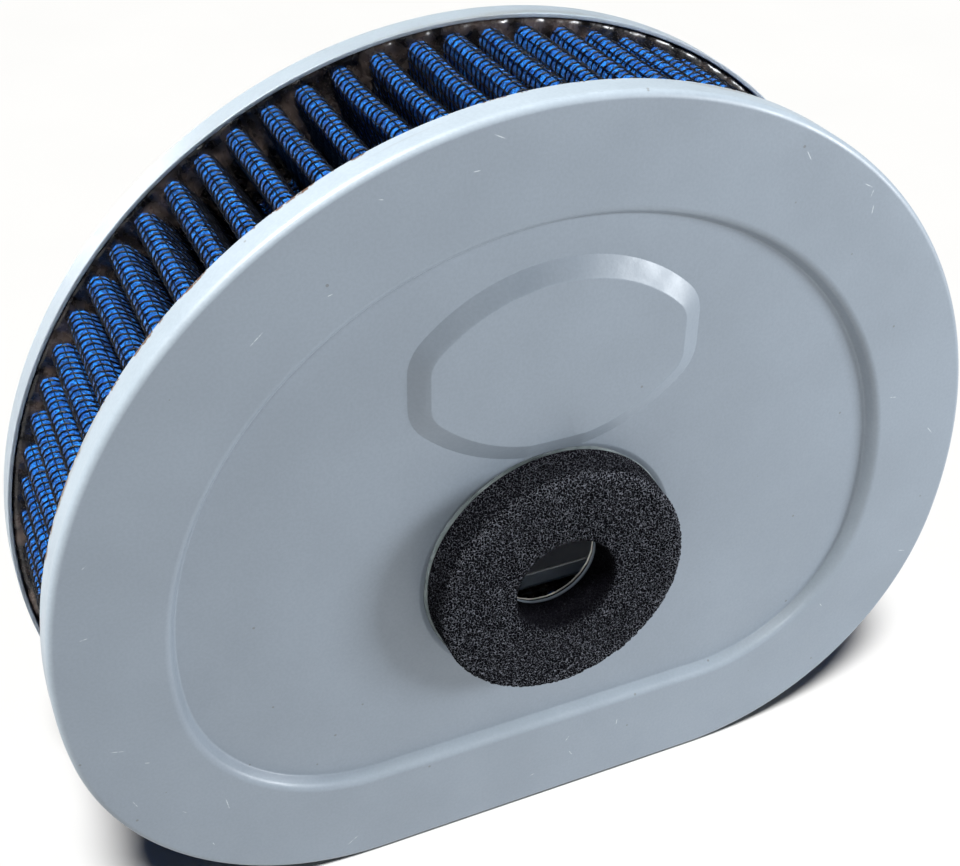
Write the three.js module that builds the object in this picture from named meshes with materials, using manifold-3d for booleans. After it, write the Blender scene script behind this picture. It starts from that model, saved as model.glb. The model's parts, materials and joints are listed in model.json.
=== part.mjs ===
// A D-shaped pleated air filter element for a motorcycle, standing on its flat side.
// Millimetres. +X is to the right along the long axis, +Y runs from the front cap to the back cap, +Z is up.
// The origin is at the bottom centre of the element's bounding box.
import * as THREE from "three";
import Module from "manifold-3d";
import { mergeVertices } from "three/addons/utils/BufferGeometryUtils.js";

const wasm = await Module();
wasm.setup();

// ---- driving dimensions ----

// End cap outline: one wide top arc, two tighter corner arcs and a flat base.
const ARCH_HEIGHT = 64; // centre of the top arc above the flat base
const TOP_RADIUS = 94.5;
const CORNER_RADIUS = 58;

// End caps. Depths are measured from the front cap's face towards the back.
const ELEMENT_DEPTH = 45.5; // front cap face to back cap face
const SHEET = 0.8;
const SKIRT = 5.8;
const BEND_RADIUS = 1.3;

// Recessed panel in the front cap
const PANEL = { topRadius: 74, cornerRadius: 37, archHeight: 42.3 };
const PANEL_DEPTH = 2.3;
const PANEL_SLOPE = 1.4; // how far the step runs inwards
const SLOPE_WALL = 0.45; // the step's wall, measured across the step

// Raised blank boss on the panel
const BOSS = { halfWidth: 28.3, halfHeight: 20, arcRadius: 36.5, cornerRadius: 9, aboveArch: 45.6 };
const BOSS_HEIGHT = 1.8;
const BOSS_FLANK = 3.7;

// Bolt hole, its round seat and the foam ring, all on the centre of the top arc
const BOLT_HOLE_RADIUS = 10.2;
const SEAT_RADIUS = 26.6;
const SEAT_DEPTH = 0.6;
const FOAM_OUTER_RADIUS = 25;
const FOAM_INNER_RADIUS = 10;
const FOAM_FRONT = -6; // how far the foam stands proud of the cap's face
const FOAM_EDGE = 0.8; // softened rim of the foam

// Back cap's outlet and its gasket
const OUTLET_INSET = 21.5;
const OUTLET_FLANGE = 4.5;
const GASKET_INSET = [6, 18];
const GASKET_THICKNESS = 3;

// Pleated pack
const PLEATS = 76;
const PLEAT_INSET = 2; // from the caps' edge to the outermost face of the pack
const PLEAT_DEPTH = 16.5;
const CROWN_HALF_WIDTH = 1.3; // on the pack's mid-surface
const LEG_HALF_GAP = 1.5; // mid-surface legs, at the inner folds
const WIRE_SKIN = 0.3; // thickness that stands for one wire mesh
const GAUZE = 0.7;
const LAYER_GAP = 0.25;

const POTTING_INSET = [SHEET + 0.3, 19.5];
const POTTING_DEPTH = 4.1;
const SEAM_BEAD = { width: 1.8, height: 3 }; // adhesive that closes the pack, in the fold at the base
const FILM = 0.3; // adhesive film
const FILM_GAP = 0.2;
const GAP = 0.3; // between pieces that touch
const OVERSHOOT = 1; // how far a cutting solid runs past the face that it cuts

const ARC_STEP = THREE.MathUtils.degToRad(6);
const FINE_STEP = THREE.MathUtils.degToRad(10);
const ROUND_STEPS = 48;

// ---- materials ----

const paint = new THREE.MeshStandardMaterial({ color: 0x9ba5ae, roughness: 0.45, metalness: 0.15 });
const potting = new THREE.MeshStandardMaterial({ color: 0x2c2320, roughness: 0.35, metalness: 0 });
const wire = new THREE.MeshStandardMaterial({ color: 0x15171c, roughness: 0.4, metalness: 0.4 });
const gauze = new THREE.MeshStandardMaterial({ color: 0x1b5fc0, roughness: 0.9, metalness: 0 });
const foam = new THREE.MeshStandardMaterial({ color: 0x2a2b2e, roughness: 0.95, metalness: 0 });
const adhesive = new THREE.MeshStandardMaterial({ color: 0x4f5a57, roughness: 0.5, metalness: 0 });
const gasket = new THREE.MeshStandardMaterial({ color: 0x1b1b1c, roughness: 0.9, metalness: 0 });

// ---- outlines, in the plane of the caps (x, z) ----

// Points along a chain of arcs, anticlockwise. Straight runs come from the gaps between arcs.
function arcChain(arcs, step) {
  const points = [];
  for (const { x, z, radius, from, to } of arcs) {
    const count = Math.max(1, Math.round((to - from) / step));
    for (let i = 0; i <= count; i += 1) {
      const angle = from + ((to - from) * i) / count;
      const point = new THREE.Vector2(x + radius * Math.cos(angle), z + radius * Math.sin(angle));
      const last = points.at(-1);
      if (!last || last.distanceTo(point) > 1e-6) points.push(point);
    }
  }
  if (points[0].distanceTo(points.at(-1)) < 1e-6) points.pop();
  return points;
}

// The arcs of a D outline: right corner, top, left corner. The corner arcs touch the top arc and the base.
function dArcs({ topRadius, cornerRadius, archHeight }, inset = 0) {
  const rise = cornerRadius - archHeight;
  const reach = Math.sqrt((topRadius - cornerRadius) ** 2 - rise ** 2);
  const joint = Math.atan2(rise, reach);
  const cornerZ = ARCH_HEIGHT + rise;
  const corner = { z: cornerZ, radius: cornerRadius - inset };
  return [
    { ...corner, x: reach, from: -Math.PI / 2, to: joint },
    { x: 0, z: ARCH_HEIGHT, radius: topRadius - inset, from: joint, to: Math.PI - joint },
    { ...corner, x: -reach, from: Math.PI - joint, to: (3 * Math.PI) / 2 },
  ];
}

const CAP = { topRadius: TOP_RADIUS, cornerRadius: CORNER_RADIUS, archHeight: ARCH_HEIGHT };

function dOutline(shape, inset = 0) {
  return arcChain(dArcs(shape, inset), ARC_STEP);
}

// The boss outline: two shallow arcs and two straight ends, with rounded corners between them.
function bossOutline(inset) {
  const { halfWidth, halfHeight, arcRadius, cornerRadius, aboveArch } = BOSS;
  const drop = arcRadius - halfHeight;
  const cornerX = halfWidth - cornerRadius;
  const cornerRise = Math.sqrt((arcRadius - cornerRadius) ** 2 - cornerX ** 2) - drop;
  const joint = Math.atan2(cornerRise + drop, cornerX);
  const z = ARCH_HEIGHT + aboveArch;
  const upper = { z: z + cornerRise, radius: cornerRadius - inset };
  const lower = { z: z - cornerRise, radius: cornerRadius - inset };
  const arc = { x: 0, radius: arcRadius - inset };
  return arcChain(
    [
      { ...upper, x: cornerX, from: 0, to: joint },
      { ...arc, z: z - drop, from: joint, to: Math.PI - joint },
      { ...upper, x: -cornerX, from: Math.PI - joint, to: Math.PI },
      { ...lower, x: -cornerX, from: Math.PI, to: Math.PI + joint },
      { ...arc, z: z + drop, from: Math.PI + joint, to: 2 * Math.PI - joint },
      { ...lower, x: cornerX, from: 2 * Math.PI - joint, to: 2 * Math.PI },
    ],
    FINE_STEP,
  );
}

function circle(radius) {
  const ring = { x: 0, z: ARCH_HEIGHT, radius, from: 0, to: 2 * Math.PI };
  return arcChain([ring], (2 * Math.PI) / ROUND_STEPS);
}

// ---- solids ----

// A prism between two depths, with optional holes.
function prism(outline, holes, fromY, toY) {
  const shape = new THREE.Shape(outline);
  shape.holes = holes.map((hole) => new THREE.Path(hole));
  const geometry = new THREE.ExtrudeGeometry(shape, { depth: toY - fromY, bevelEnabled: false });
  geometry.rotateX(Math.PI / 2);
  geometry.translate(0, toY, 0);
  return geometry;
}

// A solid through a stack of outlines, front to back, that all have the same number of points.
function loft(rings) {
  const count = rings[0].outline.length;
  const positions = rings.flatMap(({ outline, y }) => outline.flatMap((p) => [p.x, y, p.y]));
  const indices = [];
  for (let ring = 0; ring + 1 < rings.length; ring += 1) {
    for (let i = 0; i < count; i += 1) {
      const a = ring * count + i;
      const b = ring * count + ((i + 1) % count);
      indices.push(a, a + count, b, b, a + count, b + count);
    }
  }
  const last = (rings.length - 1) * count;
  for (const [i, j, k] of THREE.ShapeUtils.triangulateShape(rings[0].outline, [])) {
    indices.push(i, j, k);
    indices.push(last + i, last + k, last + j);
  }
  const geometry = new THREE.BufferGeometry();
  geometry.setAttribute("position", new THREE.Float32BufferAttribute(positions, 3));
  geometry.setIndex(indices);
  return geometry;
}

function toSolid(geometry) {
  const bare = new THREE.BufferGeometry();
  bare.setAttribute("position", geometry.getAttribute("position"));
  bare.setIndex(geometry.index);
  const merged = mergeVertices(bare);
  const vertProperties = new Float32Array(merged.getAttribute("position").array);
  const triVerts = new Uint32Array(merged.index.array);
  return new wasm.Manifold(new wasm.Mesh({ numProp: 3, vertProperties, triVerts }));
}

function toGeometry(solid) {
  const { vertProperties, triVerts } = solid.getMesh();
  const geometry = new THREE.BufferGeometry();
  geometry.setAttribute("position", new THREE.BufferAttribute(vertProperties, 3));
  geometry.setIndex(new THREE.BufferAttribute(triVerts, 1));
  const flat = geometry.toNonIndexed();
  flat.computeVertexNormals();
  return flat;
}

const element = new THREE.Group();

function addNode(name, geometry, material) {
  const mesh = new THREE.Mesh(geometry, material);
  mesh.name = name;
  element.add(mesh);
  return mesh;
}

// ---- end caps ----

// A pan with a rounded edge, its face at depth 0 and its skirt running towards +Y.
function pan() {
  const bendSteps = 3;
  const bend = (inset, radius, y) =>
    Array.from({ length: bendSteps + 1 }, (_, i) => {
      const angle = ((Math.PI / 2) * i) / bendSteps;
      return {
        outline: dOutline(CAP, inset + radius * (1 - Math.sin(angle))),
        y: y + radius * (1 - Math.cos(angle)),
      };
    });
  const outside = loft([...bend(0, BEND_RADIUS, 0), { outline: dOutline(CAP), y: SKIRT }]);
  const inner = dOutline(CAP, SHEET);
  const inside = loft([
    ...bend(SHEET, BEND_RADIUS - SHEET, SHEET),
    { outline: inner, y: SKIRT + OVERSHOOT },
  ]);
  return toSolid(outside).subtract(toSolid(inside));
}

// A tapered plug. Its side passes through two [depth, inset] points, and runs on beyond them at that slope.
function plug(outlineAt, [frontY, frontInset], [backY, backInset], before = 0, after = 0) {
  const slope = (backInset - frontInset) / (backY - frontY);
  const ring = (y) => ({ outline: outlineAt(frontInset + slope * (y - frontY)), y });
  return toSolid(loft([ring(frontY - before), ring(backY + after)]));
}

function frontCap() {
  const panelAt = (inset) => dOutline(PANEL, inset);
  const seatAt = (inset) => circle(SEAT_RADIUS - inset);
  const floor = PANEL_DEPTH + SHEET;
  const bossTop = PANEL_DEPTH - BOSS_HEIGHT;
  const seatFloor = PANEL_DEPTH + SEAT_DEPTH;
  const overlap = SHEET / 2;

  const panelSkin = plug(panelAt, [overlap, -SLOPE_WALL], [floor, PANEL_SLOPE - SLOPE_WALL]);
  const panelVoid = plug(panelAt, [0, 0], [PANEL_DEPTH, PANEL_SLOPE], OVERSHOOT);
  const bossSkin = plug(bossOutline, [bossTop, BOSS_FLANK], [PANEL_DEPTH, 0], 0, overlap);
  const bossVoid = plug(
    bossOutline,
    [bossTop + SHEET, BOSS_FLANK + SLOPE_WALL],
    [floor, SLOPE_WALL],
    0,
    OVERSHOOT,
  );
  const seatSkin = plug(seatAt, [floor - overlap, 0], [seatFloor + SHEET, SEAT_DEPTH]);
  const seatVoid = plug(seatAt, [PANEL_DEPTH, 0], [seatFloor, SEAT_DEPTH], BOSS_HEIGHT + OVERSHOOT);
  const boltHole = toSolid(prism(circle(BOLT_HOLE_RADIUS), [], -OVERSHOOT, SKIRT));

  return pan()
    .add(panelSkin)
    .subtract(panelVoid)
    .add(bossSkin)
    .subtract(bossVoid)
    .add(seatSkin)
    .subtract(seatVoid)
    .subtract(boltHole);
}

// The back cap is the same pan turned to face the other way, open over the clean side.
function backCap() {
  const flange = prism(dOutline(CAP, OUTLET_INSET - SHEET), [], SHEET / 2, OUTLET_FLANGE);
  const outlet = prism(dOutline(CAP, OUTLET_INSET), [], -OVERSHOOT, OUTLET_FLANGE + OVERSHOOT);
  return pan().add(toSolid(flange)).subtract(toSolid(outlet));
}

// ---- pleated pack ----

const PACK = 2 * WIRE_SKIN + GAUZE + 2 * LAYER_GAP; // thickness of all its layers
const PACK_FRONT = SHEET + GAP + POTTING_DEPTH + GAP;
const PACK_BACK = ELEMENT_DEPTH - PACK_FRONT;

// The base outline of the pack as spans of known length, starting at the middle of the flat.
function railSpans(inset) {
  const [right, top, left] = dArcs(CAP, inset);
  const arcSpan = ({ x, z, radius, from, to }) => ({
    length: radius * (to - from),
    at(distance) {
      const angle = from + distance / radius;
      const normal = new THREE.Vector2(Math.cos(angle), Math.sin(angle));
      return { point: new THREE.Vector2(x, z).addScaledVector(normal, radius), normal, radius };
    },
  });
  const flatSpan = (fromX) => ({
    length: right.x,
    at(distance) {
      return {
        point: new THREE.Vector2(fromX + distance, inset),
        normal: new THREE.Vector2(0, -1),
        radius: Infinity,
      };
    },
  });
  return [flatSpan(0), arcSpan(right), arcSpan(top), arcSpan(left), flatSpan(-right.x)];
}

function railFrame(spans, distance) {
  let rest = distance;
  for (const span of spans) {
    if (rest <= span.length) return span.at(rest);
    rest -= span.length;
  }
  return spans[0].at(rest);
}

// The pack's mid-surface as a closed zigzag: a flat crown and a flat inner fold for every pleat.
function packMidline() {
  const spans = railSpans(PLEAT_INSET + PACK / 2);
  const pitch = spans.reduce((sum, span) => sum + span.length, 0) / PLEATS;
  const foldDepth = PLEAT_DEPTH - PACK;
  const points = [];
  const addPair = ({ point, normal }, halfWidth, depth) => {
    const tangent = new THREE.Vector2(-normal.y, normal.x);
    for (const side of [-halfWidth, halfWidth]) {
      points.push(point.clone().addScaledVector(tangent, side).addScaledVector(normal, -depth));
    }
  };
  for (let pleat = 0; pleat < PLEATS; pleat += 1) {
    addPair(railFrame(spans, (pleat + 0.5) * pitch), CROWN_HALF_WIDTH, 0);
    const fold = railFrame(spans, (pleat + 1) * pitch);
    const foldPitch = pitch * (1 - foldDepth / fold.radius);
    addPair(fold, foldPitch / 2 - LEG_HALF_GAP, foldDepth);
  }
  return points;
}

// A closed line moved sideways by `distance`, outwards when positive, with mitred corners.
function offsetLine(points, distance) {
  const count = points.length;
  return points.map((point, i) => {
    const before = point.clone().sub(points[(i + count - 1) % count]).normalize();
    const after = points[(i + 1) % count].clone().sub(point).normalize();
    const normal = new THREE.Vector2(before.y + after.y, -before.x - after.x);
    const reach = distance / (0.5 * normal.lengthSq());
    return point.clone().addScaledVector(normal, reach);
  });
}

// One layer of the pack between two offsets from its mid-surface.
function packLayer(outer, inner) {
  const midline = packMidline();
  return prism(offsetLine(midline, outer), [offsetLine(midline, inner)], PACK_FRONT, PACK_BACK);
}

// The bead lies against the dirty side of the fold in the middle of the flat base.
function seamBead() {
  const { width, height } = SEAM_BEAD;
  const foldFloor = PLEAT_INSET + PLEAT_DEPTH - PACK;
  const bead = new THREE.BoxGeometry(width, PACK_BACK - PACK_FRONT, height);
  bead.translate(0, (PACK_FRONT + PACK_BACK) / 2, foldFloor - GAP - height / 2);
  return bead;
}

// ---- rings and beds ----

// A flat ring between two insets from the caps' outline.
function dRing([outerInset, innerInset], fromY, toY) {
  return prism(dOutline(CAP, outerInset), [dOutline(CAP, innerInset)], fromY, toY);
}

// A turned ring on the bolt axis, from a closed profile of (radius, depth) points.
function turned(profile) {
  const points = profile.map(([radius, y]) => new THREE.Vector2(radius, y));
  return new THREE.LatheGeometry([...points, points[0].clone()], ROUND_STEPS);
}

function addTurned(name, profile, material) {
  addNode(name, turned(profile), material).position.z = ARCH_HEIGHT;
}

// ---- assembly ----

addNode("front_end_cap", toGeometry(frontCap()), paint);

const backShell = toGeometry(backCap());
backShell.rotateZ(Math.PI);
backShell.translate(0, ELEMENT_DEPTH, 0);
addNode("back_end_cap", backShell, paint);

const bedTop = SHEET + GAP;
const bedFoot = bedTop + POTTING_DEPTH;
addNode("front_potting", dRing(POTTING_INSET, bedTop, bedFoot), potting);
addNode("back_potting", dRing(POTTING_INSET, ELEMENT_DEPTH - bedFoot, ELEMENT_DEPTH - bedTop), potting);

const gauzeFace = GAUZE / 2;
const wireFoot = gauzeFace + LAYER_GAP;
const wireFace = wireFoot + WIRE_SKIN;
addNode("outer_wire_mesh", packLayer(wireFace, wireFoot), wire);
addNode("cotton_gauze", packLayer(gauzeFace, -gauzeFace), gauze);
addNode("inner_wire_mesh", packLayer(-wireFoot, -wireFace), wire);
addNode("media_seam_bead", seamBead(), potting);

const filmBack = PANEL_DEPTH + SEAT_DEPTH - FILM_GAP;
const foamBack = filmBack - FILM - FILM_GAP;
addTurned(
  "foam_ring_adhesive",
  [
    [FOAM_INNER_RADIUS + 1, filmBack - FILM],
    [FOAM_OUTER_RADIUS, filmBack - FILM],
    [FOAM_OUTER_RADIUS, filmBack],
    [FOAM_INNER_RADIUS + 1, filmBack],
  ],
  adhesive,
);
addTurned(
  "foam_ring",
  [
    [FOAM_INNER_RADIUS, FOAM_FRONT],
    [FOAM_OUTER_RADIUS - FOAM_EDGE, FOAM_FRONT],
    [FOAM_OUTER_RADIUS, FOAM_FRONT + FOAM_EDGE],
    [FOAM_OUTER_RADIUS, foamBack],
    [FOAM_INNER_RADIUS, foamBack],
  ],
  foam,
);

const gasketFilm = ELEMENT_DEPTH + FILM_GAP;
const gasketFoot = gasketFilm + FILM + FILM_GAP;
const gasketFace = gasketFoot + GASKET_THICKNESS;
addNode("back_gasket_adhesive", dRing(GASKET_INSET, gasketFilm, gasketFilm + FILM), adhesive);
addNode("back_gasket", dRing(GASKET_INSET, gasketFoot, gasketFace), gasket);

element.position.y = -(FOAM_FRONT + gasketFace) / 2;

export default element;
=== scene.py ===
"""The looks of a D-shaped pleated air filter element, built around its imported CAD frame.

Lengths below are in millimetres unless a comment says metres, and meshes are made in metres. The frame's
axes hold: +X to the right along the long axis, +Y from the front cap to the back cap, +Z up.
"""

import json
import math
from collections import namedtuple

import bmesh
import bpy
import numpy as np
from mathutils import Matrix, Vector, noise
from mathutils.geometry import delaunay_2d_cdt

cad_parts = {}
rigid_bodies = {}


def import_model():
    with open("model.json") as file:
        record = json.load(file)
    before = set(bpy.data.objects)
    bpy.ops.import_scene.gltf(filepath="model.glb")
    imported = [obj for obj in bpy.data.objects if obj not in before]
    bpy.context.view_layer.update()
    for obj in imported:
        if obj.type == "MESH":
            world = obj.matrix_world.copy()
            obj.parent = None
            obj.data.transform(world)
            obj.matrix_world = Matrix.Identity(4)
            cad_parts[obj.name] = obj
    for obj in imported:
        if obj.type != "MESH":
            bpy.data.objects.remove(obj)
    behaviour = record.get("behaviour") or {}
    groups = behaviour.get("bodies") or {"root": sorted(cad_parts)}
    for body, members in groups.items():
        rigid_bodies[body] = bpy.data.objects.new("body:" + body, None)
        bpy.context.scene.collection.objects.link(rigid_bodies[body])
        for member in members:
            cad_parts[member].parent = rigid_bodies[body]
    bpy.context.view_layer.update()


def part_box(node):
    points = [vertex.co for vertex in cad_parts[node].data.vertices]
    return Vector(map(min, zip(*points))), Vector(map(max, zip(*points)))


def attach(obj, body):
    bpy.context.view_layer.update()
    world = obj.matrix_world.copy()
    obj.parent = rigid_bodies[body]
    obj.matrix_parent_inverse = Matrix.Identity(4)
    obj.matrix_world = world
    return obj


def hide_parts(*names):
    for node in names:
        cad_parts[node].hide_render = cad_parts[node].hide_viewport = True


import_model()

MM = 0.001
SEED = 11

# ---- sizes, as in the CAD model ----

DShape = namedtuple("DShape", "top_radius corner_radius arch_height")
CAP = DShape(94.5, 58, 64)
PANEL = DShape(74, 37, 42.3)
ARCH_HEIGHT = 64  # of the centre of the top arcs, the seat and the bolt hole

SHEET = 0.8
BEND_RADIUS = 1.3
PANEL_DEPTH = 2.3
PANEL_SLOPE = 1.4
Boss = namedtuple("Boss", "half_width half_height arc_radius corner_radius above_arch height flank")
BOSS = Boss(28.3, 20, 36.5, 9, 45.6, 1.8, 3.7)
SEAT_RADIUS = 26.6
SEAT_DEPTH = 0.6
SEAT_STEEPNESS = 0.5  # the seat's depth gained for each millimetre inwards
BOLT_HOLE_RADIUS = 10.2
FOAM_OUTER, FOAM_INNER = 25, 10
OUTLET_INSET = 21.5
OUTLET_FLANGE = 4.5
GASKET_INSETS = (6, 18)
PLEATS = 76
PLEAT_INSET = 2
PLEAT_DEPTH = 16.5
POTTING_INSETS = (1.1, 19.5)
CAP_SPACING = 1.5  # between points along the caps' outline


def span(node):
    """Where a CAD node begins and ends along Y."""
    return [end.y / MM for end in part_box(node)]


FRONT, FRONT_EDGE = span("front_end_cap")  # its face, and its skirt's free edge
BACK_EDGE, BACK = span("back_end_cap")
SKIRT = FRONT_EDGE - FRONT
FOAM_FACE = span("foam_ring")[0]


# ---- meshes from arrays ----


def grid_quads(rows, columns, close_rows=False, close_columns=False):
    """Faces of a grid of points stored row by row."""
    i = np.arange(rows if close_rows else rows - 1)[:, None]
    j = np.arange(columns if close_columns else columns - 1)[None, :]
    below, beside = (i + 1) % rows, (j + 1) % columns
    corners = [i * columns + j, i * columns + beside, below * columns + beside, below * columns + j]
    return np.stack([np.broadcast_to(c, (i.size, j.size)) for c in corners], -1).reshape(-1, 4)


def signed_volume(points, blocks):
    """Six times the volume that the faces enclose, negative where they face inwards."""
    total = 0.0
    for block in blocks:
        first = points[block[:, 0]]
        for k in range(1, block.shape[1] - 1):
            second, third = points[block[:, k]], points[block[:, k + 1]]
            total += np.einsum("ij,ij->i", first, np.cross(second, third)).sum()
    return total


def make_mesh(name, points, blocks):
    """A mesh of a closed surface, from points in millimetres and blocks of faces, turned to face out."""
    if signed_volume(points, blocks) < 0:
        blocks = [block[:, ::-1] for block in blocks]
    mesh = bpy.data.meshes.new(name)
    mesh.vertices.add(len(points))
    mesh.vertices.foreach_set("co", (points * MM).astype(np.float32).ravel())
    sizes = np.concatenate([np.full(len(block), block.shape[1]) for block in blocks])
    corners = np.concatenate([block.ravel() for block in blocks]).astype(np.int32)
    mesh.loops.add(len(corners))
    mesh.loops.foreach_set("vertex_index", corners)
    mesh.polygons.add(len(sizes))
    mesh.polygons.foreach_set("loop_start", (np.cumsum(sizes) - sizes).astype(np.int32))
    mesh.update(calc_edges=True)
    mesh.shade_smooth()
    return mesh


def add_piece(mesh, materials, replaces=(), sharp_degrees=None):
    """An object that rides on the element's one body and stands for the CAD nodes named."""
    piece = bpy.data.objects.new(mesh.name, mesh)
    bpy.context.scene.collection.objects.link(piece)
    for material in materials:
        mesh.materials.append(material)
    if sharp_degrees is not None:
        mesh.set_sharp_from_angle(angle=math.radians(sharp_degrees))
    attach(piece, "root")
    if replaces:
        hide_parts(*replaces)
    return piece


# ---- outlines and profiles ----


def filleted(points, radii, closed=False, steps=6):
    """The line through the points with each corner rounded to its radius. An open line keeps its ends."""
    count = len(points)
    corners = [Vector(p) for p in points]
    line = []
    for i, (corner, radius) in enumerate(zip(corners, radii)):
        if not radius or (not closed and i in (0, count - 1)):
            line.append(tuple(corner))
            continue
        before = (corner - corners[i - 1]).normalized()
        after = (corners[(i + 1) % count] - corner).normalized()
        turn = before.angle_signed(after)
        start = corner - before * radius * math.tan(abs(turn) / 2)
        side = Vector((before.y, -before.x)) * math.copysign(radius, turn)
        centre = start + side
        for k in range(steps + 1):
            spoke = start - centre
            spoke.rotate(Matrix.Rotation(-turn * k / steps, 2))
            line.append(tuple(centre + spoke))
    return np.array(line)


def distances_along(path):
    """How far along a path each of its points lies."""
    return np.concatenate([[0], np.cumsum(np.linalg.norm(np.diff(path, axis=0), axis=1))])


def between_rows(wanted, distances, rows):
    """Rows of values at the wanted distances, between rows that are given at other distances."""
    return np.stack([np.interp(wanted, distances, column) for column in rows.T], 1)


Stations = namedtuple("Stations", "centre radius normal")


def corner_centre(shape):
    """Centre of a D outline's right corner arc, from the centre of its top arc."""
    rise = shape.corner_radius - shape.arch_height
    return math.sqrt((shape.top_radius - shape.corner_radius) ** 2 - rise**2), rise


def d_stations(shape, spacing):
    """Places along a D outline: a point at an inset is centre + normal * (radius - inset)."""
    reach, rise = corner_centre(shape)
    joint = math.atan2(rise, reach)
    corner_z = ARCH_HEIGHT + rise
    arcs = [
        (reach, corner_z, shape.corner_radius, -math.pi / 2, joint),
        (0, ARCH_HEIGHT, shape.top_radius, joint, math.pi - joint),
        (-reach, corner_z, shape.corner_radius, math.pi - joint, 1.5 * math.pi),
    ]
    centres, radii, angles = [], [], []
    for x, z, radius, start, end in arcs:
        count = math.ceil(radius * (end - start) / spacing)
        for k in range(count):
            centres.append((x, z))
            radii.append(radius)
            angles.append(start + (end - start) * k / count)
    count = math.ceil(2 * reach / spacing)
    for k in range(count):
        centres.append((-reach + 2 * reach * k / count, corner_z))
        radii.append(shape.corner_radius)
        angles.append(1.5 * math.pi)
    normals = np.stack([np.cos(angles), np.sin(angles)], 1)
    return Stations(np.array(centres), np.array(radii, float), normals)


def outline(stations, inset):
    return stations.centre + stations.normal * (stations.radius - inset)[:, None]


def d_inset(shape, x, z):
    """How far points lie inside a D outline."""
    reach, rise = corner_centre(shape)
    x, z = np.abs(x), z - ARCH_HEIGHT
    top = shape.top_radius - np.hypot(x, z)
    corner = shape.corner_radius - np.hypot(x - reach, z - rise)
    base = z + shape.arch_height
    above = z * reach >= x * rise
    in_corner = (x >= reach) & ~above
    return np.where(above, top, np.where(in_corner, corner, np.minimum(base, top)))


# The boss has two shallow arcs and two straight ends, with rounded corners between them.
BOSS_CENTRE = ARCH_HEIGHT + BOSS.above_arch
BOSS_DROP = BOSS.arc_radius - BOSS.half_height  # of the upper arc's centre, below the boss's
BOSS_CORNER_X = BOSS.half_width - BOSS.corner_radius
BOSS_CORNER_Z = math.sqrt((BOSS.arc_radius - BOSS.corner_radius) ** 2 - BOSS_CORNER_X**2) - BOSS_DROP


def arc_points(centre, radius, start, end, spacing):
    """Points along an arc, without the last one."""
    angles = np.linspace(start, end, math.ceil(radius * (end - start) / spacing), endpoint=False)
    return np.array(centre) + radius * np.stack([np.cos(angles), np.sin(angles)], 1)


def boss_outline(inset, spacing):
    """The boss's outline: its right end and its upper side, then the same turned half round."""
    joint = math.atan2(BOSS_CORNER_Z + BOSS_DROP, BOSS_CORNER_X)
    heights = np.linspace(-BOSS_CORNER_Z, BOSS_CORNER_Z, round(2 * BOSS_CORNER_Z / spacing), endpoint=False)
    corner_radius = BOSS.corner_radius - inset
    half = np.vstack([
        np.stack([np.full(len(heights), BOSS.half_width - inset), heights], 1),
        arc_points((BOSS_CORNER_X, BOSS_CORNER_Z), corner_radius, 0, joint, spacing),
        arc_points((0, -BOSS_DROP), BOSS.arc_radius - inset, joint, math.pi - joint, spacing),
        arc_points((-BOSS_CORNER_X, BOSS_CORNER_Z), corner_radius, math.pi - joint, math.pi, spacing),
    ])
    return np.vstack([half, -half]) + [0, BOSS_CENTRE]


def boss_inset(x, z):
    """How far points lie inside the boss's outline."""
    x, z = np.abs(x), np.abs(z - BOSS_CENTRE)
    from_arc = BOSS.arc_radius - np.hypot(x, z + BOSS_DROP)
    from_corner = BOSS.corner_radius - np.hypot(x - BOSS_CORNER_X, z - BOSS_CORNER_Z)
    beside_arc = (z + BOSS_DROP) * BOSS_CORNER_X < x * (BOSS_CORNER_Z + BOSS_DROP)
    from_side = np.where(z > BOSS_CORNER_Z, from_corner, BOSS.half_width - x)
    return np.where(beside_arc, from_side, from_arc)


def full_turn(count):
    """Evenly spaced angles all the way round."""
    return np.arange(count) * 2 * math.pi / count


def circle(radius, spacing):
    """A circle around the bolt hole's axis."""
    angles = full_turn(math.ceil(2 * math.pi * radius / spacing))
    return np.stack([radius * np.cos(angles), ARCH_HEIGHT + radius * np.sin(angles)], 1)


def to_space(flat, y):
    """Points (x, z) in the plane of the caps, at y."""
    return np.stack([flat[:, 0], np.broadcast_to(y, len(flat)), flat[:, 1]], 1)


def swept(name, stations, profile):
    """A ring around the D outline, with a closed profile of (inset, y) points."""
    rows = [to_space(outline(stations, inset), y) for inset, y in profile]
    faces = grid_quads(len(profile), len(stations.radius), True, True)
    return make_mesh(name, np.concatenate(rows), [faces])


# ---- materials ----


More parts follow.
